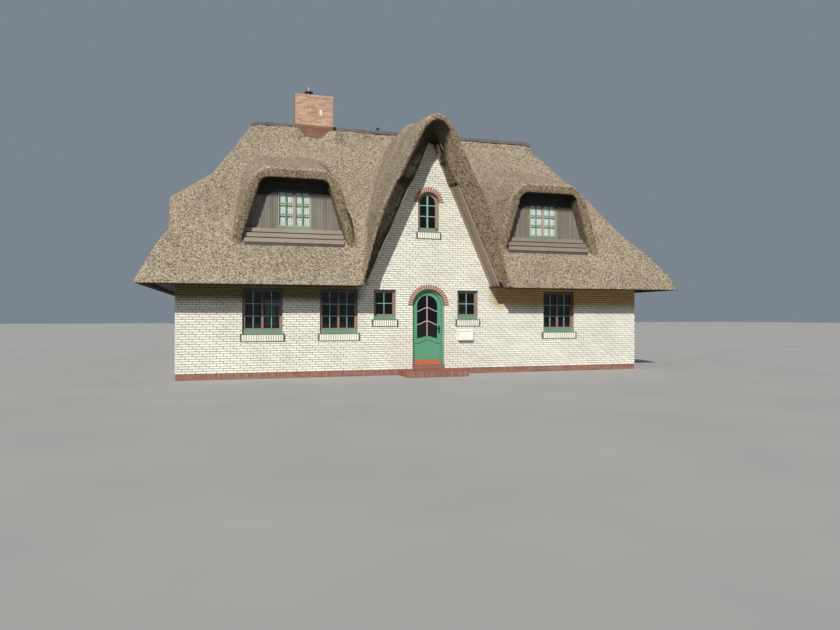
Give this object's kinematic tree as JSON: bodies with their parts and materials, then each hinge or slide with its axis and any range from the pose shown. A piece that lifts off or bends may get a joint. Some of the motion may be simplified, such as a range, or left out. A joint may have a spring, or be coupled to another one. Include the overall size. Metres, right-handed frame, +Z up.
{
  "type": "thatched cottage",
  "caption": "Brick cottage under a hipped thatched roof with a steep central gable, hooded dormers, an off-centre chimney and an arched door that opens.",
  "frame": {"origin": "centre of the bounding box on the ground, under the ridge", "axes": "+X along the ridge, to the right as the front is seen; +Y from the front to the back; +Z up; the front door faces -Y"},
  "size_m": [14.99, 10.13, 9.12],
  "materials": {
    "painted_brick": "white painted brick",
    "red_brick": "unglazed red brick",
    "thatch": "weathered reed",
    "ridge_sod": "dark heather and moss",
    "green_paint": "green gloss paint",
    "brown_board": "weathered brown boarding",
    "glass": "clear",
    "floor_screed": "smooth screed",
    "floor_boards": "sanded boards",
    "black_metal": "black painted metal",
    "white_metal": "white gloss paint"
  },
  "bodies": {
    "house": {"plinth": "red_brick", "ground_floor": "floor_screed", "front_wall_left": "painted_brick", "front_wall_right": "painted_brick", "front_gable_wall": "painted_brick", "left_wall": "painted_brick", "right_wall": "painted_brick", "back_wall": "painted_brick", "upper_floor": "floor_boards", "door_step": "red_brick", "door_arch": "red_brick", "door_frame": "green_paint", "window_1": "green_paint", "window_glass_1": "glass", "window_2": "green_paint", "window_glass_2": "glass", "window_3": "green_paint", "window_glass_3": "glass", "window_4": "green_paint", "window_glass_4": "glass", "window_5": "green_paint", "window_glass_5": "glass", "gable_window": "green_paint", "gable_glass": "glass", "gable_window_arch": "red_brick", "back_window_left": "green_paint", "back_glass_left": "glass", "back_window_right": "green_paint", "back_glass_right": "glass", "dormer_face_front_left": "brown_board", "dormer_window_front_left": "green_paint", "dormer_glass_front_left": "glass", "dormer_face_front_right": "brown_board", "dormer_window_front_right": "green_paint", "dormer_glass_front_right": "glass", "dormer_face_back_left": "brown_board", "dormer_glass_back_left": "glass", "dormer_face_back_right": "brown_board", "dormer_glass_back_right": "glass", "dormer_face_left": "brown_board", "dormer_glass_left": "glass", "dormer_face_right": "brown_board", "dormer_glass_right": "glass", "thatch_front_left": "thatch", "thatch_gable": "thatch", "thatch_front_right": "thatch", "thatch_back_left": "thatch", "thatch_back_right": "thatch", "thatch_left_hip": "thatch", "thatch_right_hip": "thatch", "ridge_cap": "ridge_sod", "eaves_soffit": "brown_board", "gable_boards": "brown_board", "chimney": "red_brick", "chimney_cowl": "black_metal", "ridge_vent": "black_metal", "letter_box": "white_metal"},
    "door": {"door_leaf": "green_paint", "door_glass": "glass", "door_handle": "black_metal"}
  },
  "joints": [
    {"name": "front_door_hinge", "type": "hinge", "parent": "house", "child": "door", "pos_m": [-0.45275, -3.929, 1.15], "axis": [0, 0, 1], "range_deg": [0, 90]}
  ]
}
